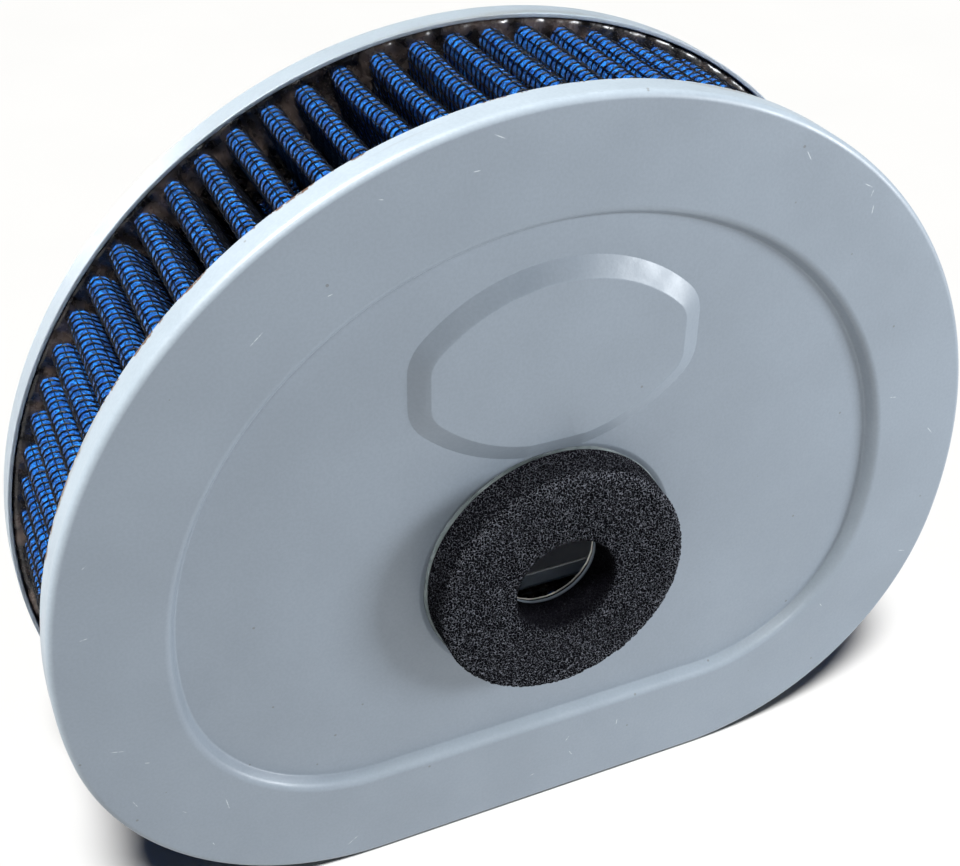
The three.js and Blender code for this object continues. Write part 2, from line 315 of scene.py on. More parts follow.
class Painter:
    """Short ways to add nodes to one new material. Colours are given without alpha."""

    def __init__(self, name, color, roughness, **sockets):
        self.material = bpy.data.materials.new(name)
        self.material.use_nodes = True
        self.tree = self.material.node_tree
        self.shader = self.tree.nodes["Principled BSDF"]
        self.color(color)
        self.roughness(roughness)
        for socket, value in sockets.items():
            self.feed(self.shader.inputs[socket.replace("_", " ")], value)
        self.place = self.node("ShaderNodeTexCoord", {})["Object"]

    def feed(self, socket, value):
        """Sets a socket to a value, or links another socket to it."""
        if isinstance(value, bpy.types.NodeSocket):
            self.tree.links.new(value, socket)
        elif socket.type == "RGBA":
            socket.default_value = (*value, 1)
        else:
            socket.default_value = value

    def node(self, kind, inputs, **settings):
        """Adds a node and feeds its inputs. Returns its outputs."""
        made = self.tree.nodes.new(kind)
        for key, value in settings.items():
            setattr(made, key, value)
        for socket, value in inputs.items():
            self.feed(made.inputs[socket], value)
        return made.outputs

    def color(self, value):
        self.feed(self.shader.inputs["Base Color"], value)

    def roughness(self, value):
        self.feed(self.shader.inputs["Roughness"], value)

    def axes(self):
        """The three coordinates of the place that is shaded, in metres."""
        return self.node("ShaderNodeSeparateXYZ", {0: self.place})

    def math(self, operation, a, b=0.0):
        return self.node("ShaderNodeMath", {0: a, 1: b}, operation=operation)[0]

    def times(self, a, b):
        return self.math("MULTIPLY", a, b)

    def noise(self, cell, detail=2.0, roughness=0.5, stretch=None):
        """Noise whose features are about `cell` millimetres across."""
        place = self.place
        if stretch:
            place = self.node("ShaderNodeMapping", {"Vector": place, "Scale": stretch})["Vector"]
        inputs = {"Vector": place, "Scale": 1 / (cell * MM), "Detail": detail, "Roughness": roughness}
        return self.node("ShaderNodeTexNoise", inputs)["Fac"]

    def cells(self, cell, feature="F1"):
        """Distance to the nearest cell's centre, or another feature of cells `cell` millimetres across."""
        inputs = {"Vector": self.place, "Scale": 1 / (cell * MM)}
        return self.node("ShaderNodeTexVoronoi", inputs, feature=feature)["Distance"]

    def ramp(self, value, low, high, start=0.0, end=1.0):
        """Maps a value from low..high to start..end, with soft ends."""
        inputs = {"Value": value, "From Min": low, "From Max": high, "To Min": start, "To Max": end}
        return self.node("ShaderNodeMapRange", inputs, interpolation_type="SMOOTHSTEP")["Result"]

    def mix(self, share, a, b):
        return self.node("ShaderNodeMix", {"Factor": share, "A": a, "B": b}, data_type="RGBA")["Result"]

    def bump(self, *layers):
        """Bump from (height, depth in millimetres) layers, one over the other."""
        below = {}
        for height, depth in layers:
            inputs = {"Strength": 1, "Distance": depth * MM, "Height": height, **below}
            below = {"Normal": self.node("ShaderNodeBump", inputs)["Normal"]}
        self.feed(self.shader.inputs["Normal"], below["Normal"])


PAINT = (0.196, 0.229, 0.268)
CHIP = (0.07, 0.04, 0.026)
PATCH = 40  # size of the areas that chips keep to


def shaded(color, factor):
    return tuple(channel * factor for channel in color)


def scratch_mask(paint, count, seed):
    """A mask that is 1 on short fine scratches near the front cap's rim."""
    rng = np.random.default_rng(seed)
    stations = d_stations(CAP, 1.0)
    across_cap, _, up = paint.axes()
    mask = 0.0
    for _ in range(count):
        where = outline(stations, rng.uniform(3, 17))[rng.integers(len(stations.radius))]
        angle, half_length = rng.uniform(0, math.pi), rng.uniform(0.5, 2.0)
        along = Vector((math.cos(angle), math.sin(angle)))
        across = Vector((-along.y, along.x))
        distances = []
        for axis in (along, across):
            x = paint.times(across_cap, axis.x)
            z = paint.times(up, axis.y)
            total = paint.math("SUBTRACT", paint.math("ADD", x, z), axis.dot(Vector(where)) * MM)
            distances.append(paint.math("ABSOLUTE", total))
        on_length = paint.ramp(distances[0], half_length * MM, half_length * 0.4 * MM)
        on_width = paint.ramp(distances[1], 0.12 * MM, 0.03 * MM)
        mask = paint.math("MAXIMUM", mask, paint.times(on_length, on_width))
    return mask


def cap_paint(name, seed, scratches, free_edge, wear):
    """Satin powder paint with fine grain, faint mottling, specks and scratches.

    It has worn away in chips by the skirt's free edge, at y = `free_edge`, and is rubbed beside them.
    """
    paint = Painter(name, PAINT, 0.42, Specular_IOR_Level=0.5)
    mottle = paint.ramp(paint.noise(24, 3), 0.3, 0.7)
    shade = paint.mix(mottle, shaded(PAINT, 0.955), shaded(PAINT, 1.03))
    grain = paint.ramp(paint.noise(0.6, 2), 0.35, 0.65, 0.0, 0.12)
    shade = paint.mix(grain, shade, shaded(PAINT, 0.6))
    specks = paint.ramp(paint.cells(7.5), 0.045, 0.03)
    shade = paint.mix(paint.times(specks, 0.55), shade, (0.09, 0.085, 0.08))
    _, y, _ = paint.axes()
    from_edge = paint.math("ABSOLUTE", paint.math("SUBTRACT", y, free_edge * MM))
    patches = paint.ramp(paint.noise(PATCH, 1), 0.45, 0.6, -0.12, 0.03)
    knocks = paint.math("ADD", paint.noise(3.5, 4, 0.7), patches)
    worn = paint.math("ADD", knocks, paint.ramp(from_edge, 0.0, 2.4 * MM, wear, -0.5))
    shade = paint.mix(paint.ramp(worn, 0.68, 0.72), shade, CHIP)
    rubbed = paint.ramp(paint.noise(2.2, 3, stretch=(0.06, 1, 0.06)), 0.56, 0.7, 0.0, 0.5)
    on_skirt = paint.ramp(from_edge, (SKIRT - 3.2) * MM, (SKIRT - 4.4) * MM)
    shade = paint.mix(paint.times(rubbed, on_skirt), shade, (0.13, 0.13, 0.125))
    if scratches:
        mask = scratch_mask(paint, scratches, seed)
        broken = paint.ramp(paint.noise(0.9, 1), 0.3, 0.6, 0.1, 0.8)
        shade = paint.mix(paint.times(mask, broken), shade, (0.5, 0.54, 0.57))
    paint.color(shade)
    paint.roughness(paint.ramp(paint.noise(5, 4), 0.25, 0.75, 0.36, 0.5))
    paint.bump((paint.noise(0.7, 2), 0.02), (paint.noise(30, 2), 0.25))
    return paint.material


def cap_edge():
    """The cut edges of a cap's sheet: thin paint, with copper-brown chips where it has worn away."""
    paint = Painter("cap_edge", PAINT, 0.4)
    patches = paint.ramp(paint.noise(PATCH, 1), 0.45, 0.6, -0.14, 0.02)
    knocks = paint.math("ADD", paint.noise(3.2, 4, 0.65), patches)
    chips = paint.ramp(knocks, 0.64, 0.68)
    paint.color(paint.mix(chips, shaded(PAINT, 1.15), CHIP))
    paint.bump((paint.noise(0.6, 2), 0.02))
    return paint.material


def bare_steel_painted_light():
    """The bolt hole's cut edge: painted dark as shade, with a thin painted highlight along its back,
    brighter in places.
    """
    paint = Painter("bare_steel_painted_light", (0.9, 0.86, 0.78), 0.4, Specular_IOR_Level=0.3)
    _, y, _ = paint.axes()
    back = FRONT + PANEL_DEPTH + SEAT_DEPTH + SHEET
    # painted highlight: a thin pale band along the back of the hole's edge
    painted_highlight_line = paint.ramp(y, (back - 0.42) * MM, (back - 0.3) * MM)
    marks = paint.noise(0.35, 2, stretch=(0.25, 3, 0.25))
    bright = paint.ramp(paint.noise(7, 1), 0.35, 0.6, 0.35, 1.0)
    # the rest of the cut edge is painted near black as shade, and the band pale as a highlight
    paint.color(paint.mix(paint.times(painted_highlight_line, bright), (0.012, 0.013, 0.016), (0.95, 0.9, 0.8)))
    paint.roughness(paint.ramp(marks, 0.3, 0.7, 0.22, 0.4))
    paint.bump((marks, 0.01))
    return paint.material


def gauze_cloth():
    """Blue cotton gauze: uneven dye, a fine open weave and fibres that break up the light."""
    sheen = {"Sheen_Weight": 0.08, "Sheen_Roughness": 0.4}
    paint = Painter("gauze_cloth", (0.01, 0.13, 0.6), 0.75, Specular_IOR_Level=0.3, **sheen)
    dye = paint.ramp(paint.noise(1.2, 4, 0.7), 0.36, 0.64)
    shade = paint.mix(dye, (0.002, 0.07, 0.36), (0.014, 0.22, 0.72))
    lint = paint.ramp(paint.noise(0.5, 3, 0.7), 0.54, 0.68)
    shade = paint.mix(paint.times(lint, 0.75), shade, (0.12, 0.5, 0.95))
    threads = paint.ramp(paint.noise(0.5, 2, 0.6), 0.48, 0.57)
    paint.color(paint.mix(paint.times(threads, 0.85), shade, (0.0, 0.014, 0.09)))
    paint.roughness(paint.ramp(dye, 0.0, 1.0, 0.62, 0.9))
    paint.bump((paint.noise(0.3, 3, 0.7), 0.12))
    return paint.material


def coated_wire(name, color, roughness):
    """Black epoxy-coated wire with small thin spots."""
    paint = Painter(name, color, roughness, Specular_IOR_Level=0.4)
    thin = paint.ramp(paint.noise(1.1, 3), 0.52, 0.75)
    paint.color(paint.mix(thin, color, tuple(c * 1.8 + 0.004 for c in color)))
    paint.roughness(paint.ramp(paint.noise(0.9, 2), 0.3, 0.7, roughness * 0.8, roughness * 1.3))
    return paint.material


def potting_resin():
    """Dark glossy adhesive, browner where it is thin."""
    paint = Painter("potting_resin", (0.008, 0.006, 0.006), 0.24)
    thin = paint.ramp(paint.noise(4.5, 2), 0.4, 0.75)
    paint.color(paint.mix(thin, (0.008, 0.007, 0.007), (0.075, 0.056, 0.048)))
    paint.roughness(paint.ramp(paint.noise(1.4, 3), 0.3, 0.7, 0.16, 0.34))
    paint.bump((paint.noise(3.5, 2), 0.3), (paint.noise(0.8, 2), 0.01))
    return paint.material


def open_foam():
    """Charcoal reticulated foam: light struts around black pores, with painted shade on its walls and in
    its bore and a painted highlight along its outer rim.
    """
    paint = Painter("open_foam", (0.015, 0.015, 0.017), 0.9, Specular_IOR_Level=0.03)
    pores = paint.cells(0.6, "DISTANCE_TO_EDGE")
    struts = paint.ramp(pores, 0.15, 0.05)
    fine = paint.ramp(paint.noise(0.35, 2), 0.42, 0.64)
    x, y, z = paint.axes()
    from_axis = paint.math("SUBTRACT", z, ARCH_HEIGHT * MM)
    squares = paint.math("ADD", paint.math("POWER", x, 2), paint.math("POWER", from_axis, 2))
    radius = paint.math("SQRT", squares)
    # painted shade: the foam is darker behind its front face, on its side walls
    wall = paint.ramp(y, (FOAM_FACE + 0.6) * MM, (FOAM_FACE + 2.2) * MM, 1.0, 0.36)
    # painted shade, darkest in the bore
    painted_bore_shade = paint.ramp(radius, (FOAM_INNER + 0.1) * MM, (FOAM_INNER + 1.1) * MM, 0.12, 1.0)
    # painted highlight: lighter struts towards the foam's outer edge
    rim = paint.ramp(radius, (FOAM_OUTER - 3.2) * MM, (FOAM_OUTER - 0.6) * MM, 0.93, 1.35)
    light = paint.times(struts, paint.math("ADD", fine, 0.05))
    light = paint.times(light, paint.times(wall, painted_bore_shade))
    light = paint.times(light, rim)
    paint.color(paint.mix(light, (0.001, 0.001, 0.002), (0.105, 0.11, 0.128)))
    paint.bump((struts, 0.3))
    return paint.material


def dried_adhesive():
    """A thin greenish-grey film of dried adhesive."""
    paint = Painter("dried_adhesive", (0.12, 0.14, 0.13), 0.6, Specular_IOR_Level=0.25)
    clouds = paint.ramp(paint.noise(3, 3), 0.3, 0.7)
    paint.color(paint.mix(clouds, (0.06, 0.075, 0.078), (0.12, 0.14, 0.145)))
    paint.roughness(paint.ramp(paint.noise(1.5, 2), 0.3, 0.7, 0.5, 0.75))
    paint.bump((paint.noise(1.5, 2), 0.05))
    return paint.material


def gasket_rubber():
    """Black closed-cell foam rubber with a fine skin."""
    paint = Painter("gasket_rubber", (0.012, 0.012, 0.013), 0.7)
    cells = paint.cells(0.5)
    paint.color(paint.mix(paint.ramp(cells, 0.15, 0.5), (0.006, 0.006, 0.007), (0.03, 0.03, 0.032)))
    paint.roughness(paint.ramp(paint.noise(2.5, 3), 0.3, 0.7, 0.6, 0.85))
    paint.bump((cells, 0.08), (paint.noise(9, 2), 0.3))
    return paint.material


# ---- front cap ----

# Profiles of the face's steps, as (inset, depth) points.
RECESS = filleted(
    [(-4, 0), (0, 0), (PANEL_SLOPE, PANEL_DEPTH), (PANEL_SLOPE + 3, PANEL_DEPTH)], [0, 1.8, 0.5, 0]
)
BOSS_RISE = filleted(
    [(-3, 0), (0, 0), (BOSS.flank, BOSS.height), (BOSS.flank + 3, BOSS.height)], [0, 0.3, 0.7, 0]
)
BOSS_SPACING = 0.7


def face_depth(x, z):
    """How far the front cap's face lies behind its rim at (x, z)."""
    depth = np.interp(d_inset(PANEL, x, z), *RECESS.T)
    depth = depth - np.interp(boss_inset(x, z), *BOSS_RISE.T)
    from_centre = np.hypot(x, z - ARCH_HEIGHT)
    seat = PANEL_DEPTH + np.minimum((SEAT_RADIUS - from_centre) * SEAT_STEEPNESS, SEAT_DEPTH)
    return np.where(from_centre < 1.3 * SEAT_RADIUS, np.maximum(depth, seat), depth)


def face_fillers(spacing):
    """Points on a triangular grid, wherever the front cap's face is flat."""
    rows = np.arange(0, 2 * CAP.top_radius, spacing * math.sqrt(0.75))
    places = [
        (x + (i % 2) * spacing / 2, z)
        for i, z in enumerate(rows)
        for x in np.arange(-CAP.top_radius, CAP.top_radius, spacing)
    ]
    x, z = np.array(places).T
    here = face_depth(x, z)
    around = [(spacing, 0), (-spacing, 0), (0, spacing), (0, -spacing)]
    flat = np.all([np.abs(face_depth(x + dx, z + dz) - here) < 1e-3 for dx, dz in around], 0)
    keep = flat & (d_inset(CAP, x, z) > BEND_RADIUS + spacing)
    keep &= np.hypot(x, z - ARCH_HEIGHT) > BOLT_HOLE_RADIUS + spacing
    return np.stack([x[keep], z[keep]], 1)


def face_rings():
    """The closed lines that the front cap's face follows, the outermost first and the bolt hole last."""
    cap, panel = d_stations(CAP, CAP_SPACING), d_stations(PANEL, CAP_SPACING)
    rings = [outline(cap, BEND_RADIUS)]
    rings += [outline(panel, inset) for inset in RECESS[1:-1, 0]]
    rings += [boss_outline(inset, BOSS_SPACING) for inset in BOSS_RISE[1:-1, 0]]
    rings += [boss_outline(inset, BOSS_SPACING) for inset in (1.2, 1.8, 2.4)]
    run = SEAT_DEPTH / SEAT_STEEPNESS
    rings += [circle(SEAT_RADIUS + step, 1.0) for step in (0.3, 0, -run / 2, -run, -run - 0.3)]
    rings.append(circle(BOLT_HOLE_RADIUS, 0.6))
    return rings


def front_cap_face():
    """Points and triangles of the front cap's face, from its rings and the points between them."""
    rings = face_rings()
    points, edges = [], []
    for ring in rings:
        start, count = len(points), len(ring)
        points += [Vector(p) for p in ring]
        edges += [(start + k, start + (k + 1) % count) for k in range(count)]
    points += [Vector(p) for p in face_fillers(3.5)]
    made = delaunay_2d_cdt(points, edges, [], 0, 1e-6)
    flat = np.array([tuple(p) for p in made[0]])
    triangles = np.array(made[2])
    middle = flat[triangles].mean(1)
    outside_hole = np.hypot(middle[:, 0], middle[:, 1] - ARCH_HEIGHT) > BOLT_HOLE_RADIUS * 0.995
    triangles = triangles[outside_hole]
    depth = face_depth(flat[:, 0], flat[:, 1])
    return to_space(flat, FRONT + depth), triangles


def front_cap_side():
    """Points and faces of the front cap's bend and skirt."""
    stations = d_stations(CAP, CAP_SPACING)
    bend = [
        (BEND_RADIUS * (1 - math.sin(angle)), BEND_RADIUS * (1 - math.cos(angle)))
        for angle in np.linspace(0, math.pi / 2, 7)
    ]
    rows = bend + [(0, 0.5 * SKIRT), (0, 0.8 * SKIRT), (0, SKIRT)]
    points = [to_space(outline(stations, inset), FRONT + depth) for inset, depth in rows]
    return np.concatenate(points), grid_quads(len(rows), len(stations.radius), False, True)


def front_cap():
    """The front cap: its face and side joined, then given the sheet's thickness."""
    face_points, triangles = front_cap_face()
    side_points, quads = front_cap_side()
    points = np.concatenate([face_points, side_points]) * MM
    faces = triangles.tolist() + (quads + len(face_points)).tolist()
    mesh = bpy.data.meshes.new("front_cap")
    mesh.from_pydata(points.tolist(), [], faces)
    shell = bmesh.new()
    shell.from_mesh(mesh)
    bmesh.ops.remove_doubles(shell, verts=shell.verts, dist=0.002 * MM)
    bmesh.ops.recalc_face_normals(shell, faces=shell.faces)
    if sum(face.normal.y * face.calc_area() for face in shell.faces) > 0:
        bmesh.ops.reverse_faces(shell, faces=shell.faces)
    shell.to_mesh(mesh)
    shell.free()
    mesh.shade_smooth()
    return thickened(mesh, SHEET)


def thickened(mesh, thickness):
    """A sheet given its thickness on its inner side. Its cut edges take the second of two materials."""
    sheet = bpy.data.objects.new(mesh.name, mesh)
    bpy.context.scene.collection.objects.link(sheet)
    solidify = sheet.modifiers.new("thickness", "SOLIDIFY")
    solidify.thickness = thickness * MM
    solidify.offset = -1
    solidify.use_even_offset = True
    solidify.material_offset_rim = 1
    for _ in range(2):
        mesh.materials.append(None)
    graph = bpy.context.evaluated_depsgraph_get()
    made = bpy.data.meshes.new_from_object(sheet.evaluated_get(graph))
    bpy.data.objects.remove(sheet)
    slots = np.empty(len(made.polygons), np.int32)
    made.polygons.foreach_get("material_index", slots)
    made.materials.clear()
    made.polygons.foreach_set("material_index", slots)
    made.name = mesh.name
    return made


def weigh_normals(piece):
    """Lets large faces set the shading, so that flat sheet looks flat beside its bends."""
    weights = piece.modifiers.new("weighted_normals", "WEIGHTED_NORMAL")
    weights.keep_sharp = True


def mark_hole_edge(mesh, material_index):
    """Gives the bolt hole's cut edge its own material."""
    for face in mesh.polygons:
        x, _, z = face.center / MM
        if face.material_index == 1 and math.hypot(x, z - ARCH_HEIGHT) < SEAT_RADIUS:
            face.material_index = material_index


# ---- back cap ----


def back_cap():
    """The back cap: skirt, bend, flat face and the flange turned in around the outlet."""
    inner_bend = BEND_RADIUS - SHEET
    cut = SHEET / 4
    corners = [
        ((0, SKIRT), cut),
        ((0, 0), BEND_RADIUS),
        ((OUTLET_INSET, 0), BEND_RADIUS),
        ((OUTLET_INSET, OUTLET_FLANGE), cut),
        ((OUTLET_INSET - SHEET, OUTLET_FLANGE), cut),
        ((OUTLET_INSET - SHEET, SHEET), inner_bend),
        ((SHEET, SHEET), inner_bend),
        ((SHEET, SKIRT), cut),
    ]
    profile = filleted([point for point, _ in corners], [radius for _, radius in corners], closed=True)
    profile[:, 1] = BACK - profile[:, 1]
    return swept("back_cap", d_stations(CAP, CAP_SPACING), profile)


# ---- pleated pack ----

WIRE_PITCH = 1.8
STEPS_PER_PLEAT = 40  # two for each wire
GAUZE_HALF = 0.35
CROWN_RADIUS = 1.5  # of the pack's mid-surface
PACK_THICKNESS = 1.8
FOLD_DEPTH = PLEAT_DEPTH - PACK_THICKNESS
IN_POTTING = 1.0  # how far the pack's ends stand in the potting
GAUZE_FRONT, GAUZE_BACK = span("cotton_gauze")
PACK_ENDS = (GAUZE_FRONT - IN_POTTING, GAUZE_BACK + IN_POTTING)
WIRE_ROWS = 2 * round((PACK_ENDS[1] - PACK_ENDS[0]) / WIRE_PITCH) + 1  # every second one on a wire


def rail_frames(count, shift):
    """Evenly spaced places along the pack's base line: point, outward normal and radius of each."""
    inset = PLEAT_INSET + PACK_THICKNESS / 2
    stations = d_stations(CAP, 0.25)
    points = outline(stations, inset)
    middle = int(np.argmin(np.abs(points[:, 0]) + points[:, 1]))
    order = np.roll(np.arange(len(points)), -middle)
    points, normals, radii = points[order], stations.normal[order], stations.radius[order]
    closed = np.vstack([points, points[:1]])
    travelled = distances_along(closed)
    length = travelled[-1]
    wanted = (np.arange(count) + shift) * length / count
    found = between_rows(wanted, travelled, np.hstack([closed, np.vstack([normals, normals[:1]])]))
    nearest = np.searchsorted(travelled, wanted).clip(0, len(radii) - 1)
    on_base = normals[nearest][:, 1] < -0.99999
    radius = np.where(on_base, np.inf, radii[nearest] - inset)
    normal = found[:, 2:] / np.linalg.norm(found[:, 2:], axis=1)[:, None]
    return found[:, :2], normal, radius, length / count


def pleat_line():
    """The pack's mid-surface in the plane of the caps, STEPS_PER_PLEAT points to a pleat."""
    crowns, crown_normals, _, _ = rail_frames(PLEATS, 0.5)
    folds, fold_normals, radii, pitch = rail_frames(PLEATS, 0)
    quarter = np.linspace(0, math.pi / 2, 7)
    half = np.linspace(0, math.pi, 13)

    def place(point, normal, sideways, depth):
        tangent = np.array([-normal[1], normal[0]])
        return point + np.outer(sideways, tangent) - np.outer(depth, normal)

    line = []
    for i in range(PLEATS):
        j = (i + 1) % PLEATS
        start, end = [pitch * (1 - FOLD_DEPTH / radii[k]) / 2 - CROWN_RADIUS for k in (i, j)]
        path = np.concatenate([
            place(folds[i], fold_normals[i], start * np.sin(quarter),
                  FOLD_DEPTH - start * (1 - np.cos(quarter))),
            place(crowns[i], crown_normals[i], -CROWN_RADIUS * np.cos(half),
                  CROWN_RADIUS * (1 - np.sin(half))),
            place(folds[j], fold_normals[j], -end * np.cos(quarter),
                  FOLD_DEPTH - end * (1 - np.sin(quarter))),
        ])
        travelled = distances_along(path)
        wanted = np.arange(STEPS_PER_PLEAT) * travelled[-1] / STEPS_PER_PLEAT
        line.append(between_rows(wanted, travelled, path))
    return np.concatenate(line)


def pack_surface():
    """Mid-surface points and outward normals of the pack, as (row, column, 3) arrays."""
    line = pleat_line()
    along = np.roll(line, -1, 0) - np.roll(line, 1, 0)
    along /= np.linalg.norm(along, axis=1)[:, None]
    normals = np.stack([along[:, 1], -along[:, 0]], 1)
    rows = np.linspace(*PACK_ENDS, WIRE_ROWS)
    points = np.stack([to_space(line, y) for y in rows])
    points += crooked(points.shape[:2])
    return points, np.broadcast_to(to_space(normals, 0.0), points.shape)


LEAN, WAVE, SINK, DRIFT = 0.16, 0.13, 0.12, 0.07  # typical sizes of the pack's unevenness


def crooked(shape):
    """Small leans of the pleats, each its own, and slow drifts of the cross wires along them."""
    rng = np.random.default_rng(SEED)
    _, normals, _, _ = rail_frames(PLEATS, 0.5)
    tangents = np.stack([-normals[:, 1], normals[:, 0]], 1)
    lean, wave, sink = rng.normal(0, [[LEAN], [WAVE], [SINK]], (3, PLEATS))
    phase = rng.uniform(0, 2 * math.pi, PLEATS)
    pleat, step = np.divmod(np.arange(shape[1]), STEPS_PER_PLEAT)
    hold = np.sin(math.pi * step / STEPS_PER_PLEAT) ** 2
    share = np.linspace(0, 1, shape[0])[:, None]
    sideways = lean[pleat] + wave[pleat] * np.sin(2 * math.pi * share + phase[pleat])
    inwards = np.abs(sink[pleat]) * np.sin(math.pi * share)
    move = sideways[..., None] * tangents[pleat] - inwards[..., None] * normals[pleat]
    move *= hold[:, None]
    wires = np.arange(0, shape[0], 2)
    turns = np.arange(shape[1]) / STEPS_PER_PLEAT * 2 * math.pi
    slide = np.zeros((len(wires), shape[1]))
    for waves in (19, PLEATS // 2 + 3, 2 * PLEATS + 7):
        size = rng.normal(0, DRIFT, (len(wires), 1))
        start = rng.uniform(0, 2 * math.pi, (len(wires), 1))
        slide += size * np.sin(turns * waves / PLEATS + start)
    slide = [np.interp(np.arange(shape[0]), wires, column) for column in slide.T]
    return np.stack([move[..., 0], np.transpose(slide), move[..., 1]], -1)


PILLOW_RISE = 0.2  # of the gauze between the wires
PRESSED_IN = 0.08  # under their crossings
FUZZ = 0.025


def gauze(points, normals):
    """The gauze: pillowed between the wires on its dirty side, plain on its clean side."""
    rows, columns = points.shape[:2]
    odd_row = (np.arange(rows) % 2)[:, None]
    odd_column = (np.arange(columns) % 2)[None, :]
    rng = np.random.default_rng(SEED + 1)
    pillow = odd_row * odd_column * PILLOW_RISE - (1 - odd_row) * (1 - odd_column) * PRESSED_IN
    height = GAUZE_HALF + pillow + rng.normal(0, FUZZ, (rows, columns))
    outer = points + normals * height[..., None]
    inner = (points - normals * GAUZE_HALF)[::2, ::2]
    inner_rows, inner_columns = inner.shape[:2]
    start = rows * columns
    blocks = [
        grid_quads(rows, columns, False, True),
        grid_quads(inner_rows, inner_columns, False, True)[:, ::-1] + start,
    ]
    k = np.arange(inner_columns)
    after = (k + 1) % inner_columns
    last, inner_last = (rows - 1) * columns, start + (inner_rows - 1) * inner_columns
    first_end = [2 * k + 1, 2 * k, start + k, start + after, 2 * after]
    last_end = [last + 2 * k, last + 2 * k + 1, last + 2 * after, inner_last + after, inner_last + k]
    blocks += [np.stack(first_end, 1), np.stack(last_end, 1)]
    everything = np.concatenate([outer.reshape(-1, 3), inner.reshape(-1, 3)])
    return make_mesh("pleated_gauze", everything, blocks)


def tubes(name, paths, side, up, radius, closed):
    """Thin three-sided wires along paths, given two unit vectors across the wire at each point."""
    wires, count = paths.shape[:2]
    ring = [paths + radius * (math.cos(a) * up + math.sin(a) * side) for a in full_turn(3)]
    points = np.stack(ring, 2).reshape(-1, 3)
    one = grid_quads(count, 3, closed, True)
    starts = np.arange(wires)[:, None, None] * count * 3
    blocks = [(one + starts).reshape(-1, 4)]
    if not closed:
        ends = np.array([[2, 1, 0], [0, 1, 2]]) + np.array([[0], [(count - 1) * 3]])
        blocks.append((ends + starts).reshape(-1, 3))
    return make_mesh(name, points, blocks)


CROSS_WIRE_RADIUS = 0.18
LONG_WIRE_RADIUS = 0.13
WEAVE = 0.11  # how far a wire rises and dips
WIRE_LIFT = 0.2  # of the mesh's middle, above the gauze
Y_AXIS = np.array([0.0, 1.0, 0.0])


def wire_mesh(points, normals, outward, prefix, cross_material, long_material, replaces):
    """One woven wire mesh: wires around the pleats, and wires along them."""
    rows, columns = points.shape[:2]
    lift = outward * (GAUZE_HALF + WIRE_LIFT)
    row, column = np.arange(rows)[:, None], np.arange(columns)[None, :]
    crossing = (row % 2 == 0) & (column % 2 == 0)
    over = np.where((row // 2 + column // 2) % 2 == 0, 1, -1) * crossing * WEAVE * outward
    along = np.roll(points, -1, 1) - np.roll(points, 1, 1)
    along /= np.linalg.norm(along, axis=2)[..., None]
    step = np.arange(columns) % STEPS_PER_PLEAT
    near_bend = (np.abs(step - STEPS_PER_PLEAT / 2) < 5) | (np.minimum(step, STEPS_PER_PLEAT - step) < 4)
    kept = (step % 2 == 0) | near_bend
    around = (points + normals * (lift + over)[..., None])[::2, kept]
    around_up = normals[::2, kept] * outward
    half = around.shape[0] // 2
    for label, part in (("front", slice(0, half)), ("back", slice(half, None))):
        side = np.broadcast_to(Y_AXIS, around[part].shape)
        name = f"{prefix}_cross_wires_{label}"
        mesh = tubes(name, around[part], side, around_up[part], CROSS_WIRE_RADIUS, True)
        add_piece(mesh, [cross_material], replaces)
    down = (points + normals * (lift - over)[..., None])[::2, ::2].transpose(1, 0, 2)
    down_up = normals[::2, ::2].transpose(1, 0, 2) * outward
    down_side = along[::2, ::2].transpose(1, 0, 2)
    mesh = tubes(f"{prefix}_long_wires", down, down_side, down_up, LONG_WIRE_RADIUS, False)
    add_piece(mesh, [long_material])


# ---- potting, seam bead, adhesive ----

POCKET_DEPTH = 0.55
RIPPLE = 0.16
EDGE_DROP = 0.25


def potting(name, bed_back, bed_front):
    """A bed of adhesive. Its free face, at bed_front, sinks in pockets between the pleats."""
    spacing = 0.9
    stations = d_stations(CAP, spacing)
    outer, inner = POTTING_INSETS
    middle = np.linspace(outer + spacing, inner - spacing, 14)
    insets = np.concatenate([[outer, outer + 0.15], middle, [inner - 0.1, inner]])
    rows = [to_space(outline(stations, outer), bed_back)]
    direction = math.copysign(1, bed_back - bed_front)
    crowns, _, _, _ = rail_frames(PLEATS, 0.5)
    for inset in insets:
        flat = outline(stations, inset)
        gaps = np.linalg.norm(outline(stations, PLEAT_INSET + 2)[:, None] - crowns[None], axis=2).min(1)
        pocket = POCKET_DEPTH * np.clip((gaps - 2.1) / 1.5, 0, 1) ** 1.5
        ripple = np.array([noise.noise(Vector((x * 0.35, z * 0.35, bed_front))) for x, z in flat])
        edge = EDGE_DROP if inset in insets[[0, -1]] else 0.0
        rows.append(to_space(flat, bed_front + direction * (pocket + RIPPLE * (1 + ripple) + edge)))
    rows.append(to_space(outline(stations, inner), bed_back))
    faces = grid_quads(len(rows), len(stations.radius), True, True)
    return make_mesh(name, np.concatenate(rows), [faces])


def seam_bead():
    """The adhesive bead that closes the pack: an uneven rounded bar in the middle fold of the base."""
    low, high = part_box("media_seam_bead")
    rows, sides = 60, 16
    angles = full_turn(sides)
    points = []
    for k in range(rows):
        share = k / (rows - 1)
        taper = 0.75 + 0.25 * math.sin(math.pi * share) ** 0.3
        swell = [0.94 + 0.06 * noise.noise(Vector((math.cos(a), math.sin(a), share * 12))) for a in angles]
        x = (high.x - low.x) / 2 * np.cos(angles) * swell * taper
        z = (high.z - low.z) / 2 * np.sin(angles) * swell * taper + (high.z + low.z) / 2
        points.append(np.stack([x, np.full(sides, low.y + (high.y - low.y) * share), z], 1))
    ends = np.array([np.arange(sides)[::-1], np.arange(sides) + (rows - 1) * sides])
    faces = [grid_quads(rows, sides, False, True), ends]
    return make_mesh("seam_bead", np.concatenate(points) / MM, faces)


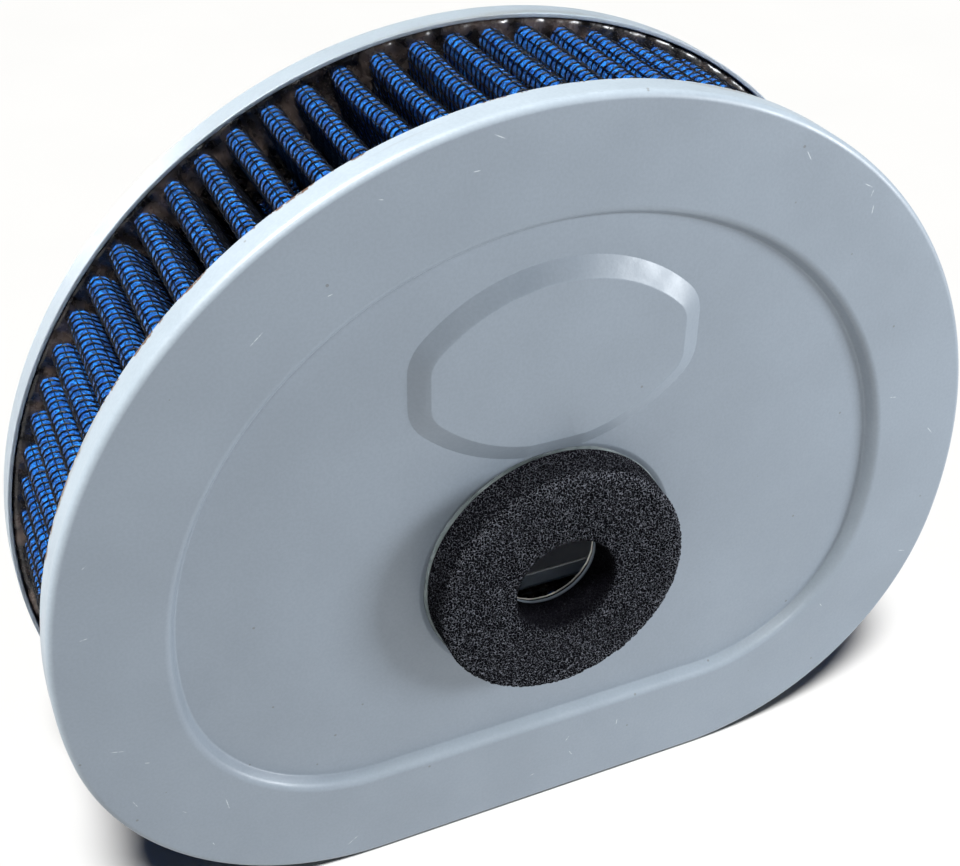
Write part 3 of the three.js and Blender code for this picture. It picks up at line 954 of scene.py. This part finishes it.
def ragged_film(name, node, outer, inner, spread):
    """A thin round film of adhesive with an uneven outer edge."""
    front, back = span(node)
    count, steps = 240, 5
    angles = full_turn(count)
    edge = np.array([noise.noise(Vector((2.2 * math.cos(a), 2.2 * math.sin(a), 3.0))) for a in angles])
    reach = outer + spread * (0.55 + 0.45 * edge)
    profile = [(inner, front), *((None, y) for y in np.linspace(front, back, steps)), (inner, back)]
    rows = []
    for radius, y in profile:
        bulge = 0 if radius else -spread * 0.5 * (1 - (y - front) / (back - front))
        r = np.full(count, radius) if radius else reach + bulge
        rows.append(np.stack([r * np.cos(angles), np.full(count, y), ARCH_HEIGHT + r * np.sin(angles)], 1))
    return make_mesh(name, np.concatenate(rows), [grid_quads(len(profile), count, True, True)])


def gasket_film():
    """The film under the gasket, with a little spilt on both sides."""
    outer, inner = GASKET_INSETS
    front, back = span("back_gasket_adhesive")
    spill = 0.35
    corners = [(outer - spill, front), (outer, back), (inner, back), (inner + spill, front)]
    return swept("gasket_film", d_stations(CAP, 2.0), filleted(corners, [0.08] * 4, closed=True, steps=3))


# ---- foam ring and gasket ----

FOAM_SPACING = 0.27
FOAM_PIT = 0.7  # size of the pits
PIT_DEPTH = 0.42
WALL_PIT_DEPTH = 0.2  # more on the outer wall
PIT_EDGE = 0.45  # how fast a pit deepens away from its strut
FOAM_WOBBLE = 0.12
FOAM_FLARE, FOAM_BASE_FLARE = 0.35, 0.45
FOAM_FOOT = 0.6  # height of the unpitted foot in the adhesive


def foam_profile(front, back):
    """Evenly spaced (radius, y) points around the foam's section, with the direction out of it at each."""
    corners = [(FOAM_INNER, back), (FOAM_INNER, front), (FOAM_OUTER, front), (FOAM_OUTER, back)]
    rounded = filleted(corners, [0.3, 0.8, 1.1, 0.3], closed=True, steps=5)
    closed = np.vstack([rounded, rounded[:1]])
    travelled = distances_along(closed)
    rows = round(travelled[-1] / FOAM_SPACING)
    profile = between_rows(np.arange(rows) * travelled[-1] / rows, travelled, closed)
    along = np.roll(profile, -1, 0) - np.roll(profile, 1, 0)
    along /= np.linalg.norm(along, axis=1)[:, None]
    outward = np.stack([along[:, 1], -along[:, 0]], 1)
    if outward[np.argmax(profile[:, 0])][0] < 0:
        outward = -outward
    return profile, outward


def foam_ring():
    """The foam ring, with a pitted surface: struts stand at its outline and pores sink in."""
    front, back = span("foam_ring")
    profile, outward = foam_profile(front, back)
    columns = round(2 * math.pi * 20 / FOAM_SPACING)
    angles = full_turn(columns)
    points = []
    for i, ((radius, y), (push, lift)) in enumerate(zip(profile, outward)):
        shift = 0.5 * (i % 2) * 2 * math.pi / columns
        for angle in angles + shift:
            place = Vector((radius * math.cos(angle), y, ARCH_HEIGHT + radius * math.sin(angle)))
            near, second = noise.voronoi(place / FOAM_PIT)[0][:2]
            pit = min(1.0, max(0.0, (second - near) / PIT_EDGE))
            wobble = FOAM_WOBBLE * noise.noise(place / 6)
            sink = -(PIT_DEPTH + WALL_PIT_DEPTH * max(0.0, push)) * pit + wobble - 0.08
            if y > back - FOAM_FOOT:
                sink = -0.05
            towards_base = (y - front) / (back - front)
            flare = FOAM_FLARE + FOAM_BASE_FLARE * max(0.0, math.sin(angle)) * towards_base
            r = radius + push * (sink + flare if push > 0 else sink)
            points.append((r * math.cos(angle), y + lift * sink, ARCH_HEIGHT + r * math.sin(angle)))
    faces = grid_quads(len(profile), columns, True, True)
    return make_mesh("foam_seal_ring", np.array(points), [faces])


def gasket():
    """The back gasket: a die-cut strip with a softly crowned face."""
    outer, inner = GASKET_INSETS
    front, back = span("back_gasket")
    middle = (outer + inner) / 2
    edge = back - 0.12
    outer_side = [(outer, front), (outer, edge), (middle - 3, back)]
    inner_side = [(middle + 3, back), (inner, edge), (inner, front)]
    profile = filleted(outer_side + inner_side, [0.2, 0.6, 3, 3, 0.6, 0.2], closed=True, steps=5)
    return swept("gasket_ring", d_stations(CAP, CAP_SPACING), profile)


# ---- assembly ----


def build():
    """Makes every piece. Returns them all."""
    before = set(bpy.context.scene.objects)
    front_mesh = front_cap()
    mark_hole_edge(front_mesh, 2)
    front_paint = cap_paint("front_cap_paint", SEED, 26, FRONT_EDGE, 0.17)
    front_materials = [front_paint, cap_edge(), bare_steel_painted_light()]
    front = add_piece(front_mesh, front_materials, ["front_end_cap"], 38)
    back_paint = cap_paint("back_cap_paint", SEED + 5, 0, BACK_EDGE, 0.06)
    back = add_piece(back_cap(), [back_paint], ["back_end_cap"], 50)
    weigh_normals(front)
    weigh_normals(back)

    resin = potting_resin()
    front_resin = potting("front_resin", *span("front_potting"))
    back_resin = potting("back_resin", *reversed(span("back_potting")))
    add_piece(front_resin, [resin], ["front_potting"])
    add_piece(back_resin, [resin], ["back_potting"])
    add_piece(seam_bead(), [resin], ["media_seam_bead"])

    points, normals = pack_surface()
    add_piece(gauze(points, normals), [gauze_cloth()], ["cotton_gauze"])
    cross_wire = coated_wire("cross_wire", (0.003, 0.0035, 0.005), 0.36)
    long_wire = coated_wire("long_wire", (0.005, 0.006, 0.009), 0.34)
    wire_mesh(points, normals, 1, "outer", cross_wire, long_wire, ["outer_wire_mesh"])
    wire_mesh(points, normals, -1, "inner", cross_wire, long_wire, ["inner_wire_mesh"])

    film = dried_adhesive()
    foam_film = ragged_film("foam_film", "foam_ring_adhesive", FOAM_OUTER, FOAM_INNER + 1, 1.5)
    add_piece(foam_film, [film], ["foam_ring_adhesive"])
    add_piece(gasket_film(), [film], ["back_gasket_adhesive"])
    foam = add_piece(foam_ring(), [open_foam()], ["foam_ring"])
    seal = add_piece(gasket(), [gasket_rubber()], ["back_gasket"], 60)
    return [piece for piece in bpy.context.scene.objects if piece not in before]


# ---- camera, lights and floor ----

AIM = Vector((0, 0, 60)) * MM
VIEW_FROM = Vector((-99.9, -208.4, 242.4)) * MM
VIEW_RIGHT = Vector((0.9148, -0.4038, 0.0105))
VIEW_UP = Vector((0.2229, 0.5263, 0.8206))
LENS = 53.9  # on a sensor 36 wide


def add_camera():
    camera = bpy.data.objects.new("camera", bpy.data.cameras.new("camera"))
    bpy.context.scene.collection.objects.link(camera)
    camera.data.sensor_width = 36
    camera.data.lens = LENS
    camera.data.clip_start = 0.01
    turn = Matrix((VIEW_RIGHT, VIEW_UP, VIEW_RIGHT.cross(VIEW_UP))).transposed()
    camera.matrix_world = Matrix.Translation(VIEW_FROM) @ turn.to_4x4()
    bpy.context.scene.camera = camera


def add_light(name, kind, place, energy, color, spread, lit, shading=None):
    """A light at `place` in metres, aimed at the element.

    It is a sun with its width in degrees, or a square area light with its side in metres. It lights only
    the pieces in `lit`, and only those in `shading`, where it is given, cast shadows in it.
    """
    light = bpy.data.objects.new(name, bpy.data.lights.new(name, kind))
    light.data.energy = energy
    light.data.color = color
    if kind == "SUN":
        light.data.angle = math.radians(spread)
    else:
        light.data.size = spread
    light.location = place
    light.rotation_euler = (AIM - Vector(place)).to_track_quat("-Z", "Y").to_euler()
    light.light_linking.receiver_collection = lit
    light.light_linking.blocker_collection = shading
    bpy.context.scene.collection.objects.link(light)


FLOOR_HALF = 8.0  # metres


def add_floor():
    paint = Painter("floor_paint", (0.6, 0.6, 0.6), 0.9)
    paint.color(paint.mix(paint.noise(60, 2), (0.59, 0.59, 0.59), (0.61, 0.61, 0.61)))
    mesh = bpy.data.meshes.new("floor")
    corners = [(x * FLOOR_HALF, y * FLOOR_HALF, 0) for x, y in ((-1, -1), (1, -1), (1, 1), (-1, 1))]
    mesh.from_pydata(corners, [], [(0, 1, 2, 3)])
    mesh.materials.append(paint.material)
    floor = bpy.data.objects.new("floor", mesh)
    bpy.context.scene.collection.objects.link(floor)
    return floor


def lit_group(name, pieces):
    """A collection of pieces, for a light's flags."""
    group = bpy.data.collections.new(name)
    for piece in pieces:
        group.objects.link(piece)
    return group


def add_stage(pieces):
    """The floor, the lights and the world. Flags keep each light to the pieces that it is for."""
    floor = add_floor()
    front = lit_group("front", [piece for piece in pieces if "front_cap" in piece.name])
    back = lit_group("back", [piece for piece in pieces if "back_cap" in piece.name])
    others = lit_group("others", [piece for piece in pieces if "_cap" not in piece.name] + [floor])
    element = lit_group("element", pieces)
    hard = lit_group("hard", [piece for piece in pieces if "foam" not in piece.name])
    add_light("key", "SUN", (-0.1, -0.3, 1.0), 1.75 * math.pi, (1.0, 0.995, 0.98), 14, others)
    add_light("front_strip", "SUN", (-0.44, 0.015, 1.0), 3.9 * math.pi, (1.0, 1.0, 0.95), 8, front, hard)
    add_light("back_strip", "SUN", (-0.44, -0.05, 1.0), 3.4 * math.pi, (1.0, 1.0, 0.95), 8, back)
    add_light("front_left", "SUN", (-0.4, -1.0, 0.8), 0.44 * math.pi, (0.95, 0.98, 1.0), 14, element)
    add_light("right_side", "AREA", (0.52, -0.33, 0.2), 4.9, (0.92, 0.96, 1.0), 0.2, element)
    add_light("back_fill", "SUN", (-0.3, 1.0, AIM.z), 0.6 * math.pi, (1.0, 1.0, 1.0), 18, back)
    add_world()
    bpy.context.scene.view_settings.view_transform = "Standard"


WALL_LIGHT = 0.015  # the far wall's strength as a light, where 1 is how bright it is seen


def add_world():
    """The studio's far wall: pale where it is seen, and only a dim light on the element."""
    world = bpy.data.worlds.new("studio")
    world.use_nodes = True
    nodes = world.node_tree.nodes
    background = nodes["Background"]
    background.inputs["Color"].default_value = (0.95, 0.97, 1.0, 1)
    seen = nodes.new("ShaderNodeLightPath").outputs["Is Camera Ray"]
    wall = nodes.new("ShaderNodeMapRange")
    wall.inputs["To Min"].default_value = WALL_LIGHT
    wall.inputs["To Max"].default_value = 1.0
    world.node_tree.links.new(seen, wall.inputs["Value"])
    world.node_tree.links.new(wall.outputs["Result"], background.inputs["Strength"])
    bpy.context.scene.world = world


pieces = build()
add_camera()
add_stage(pieces)
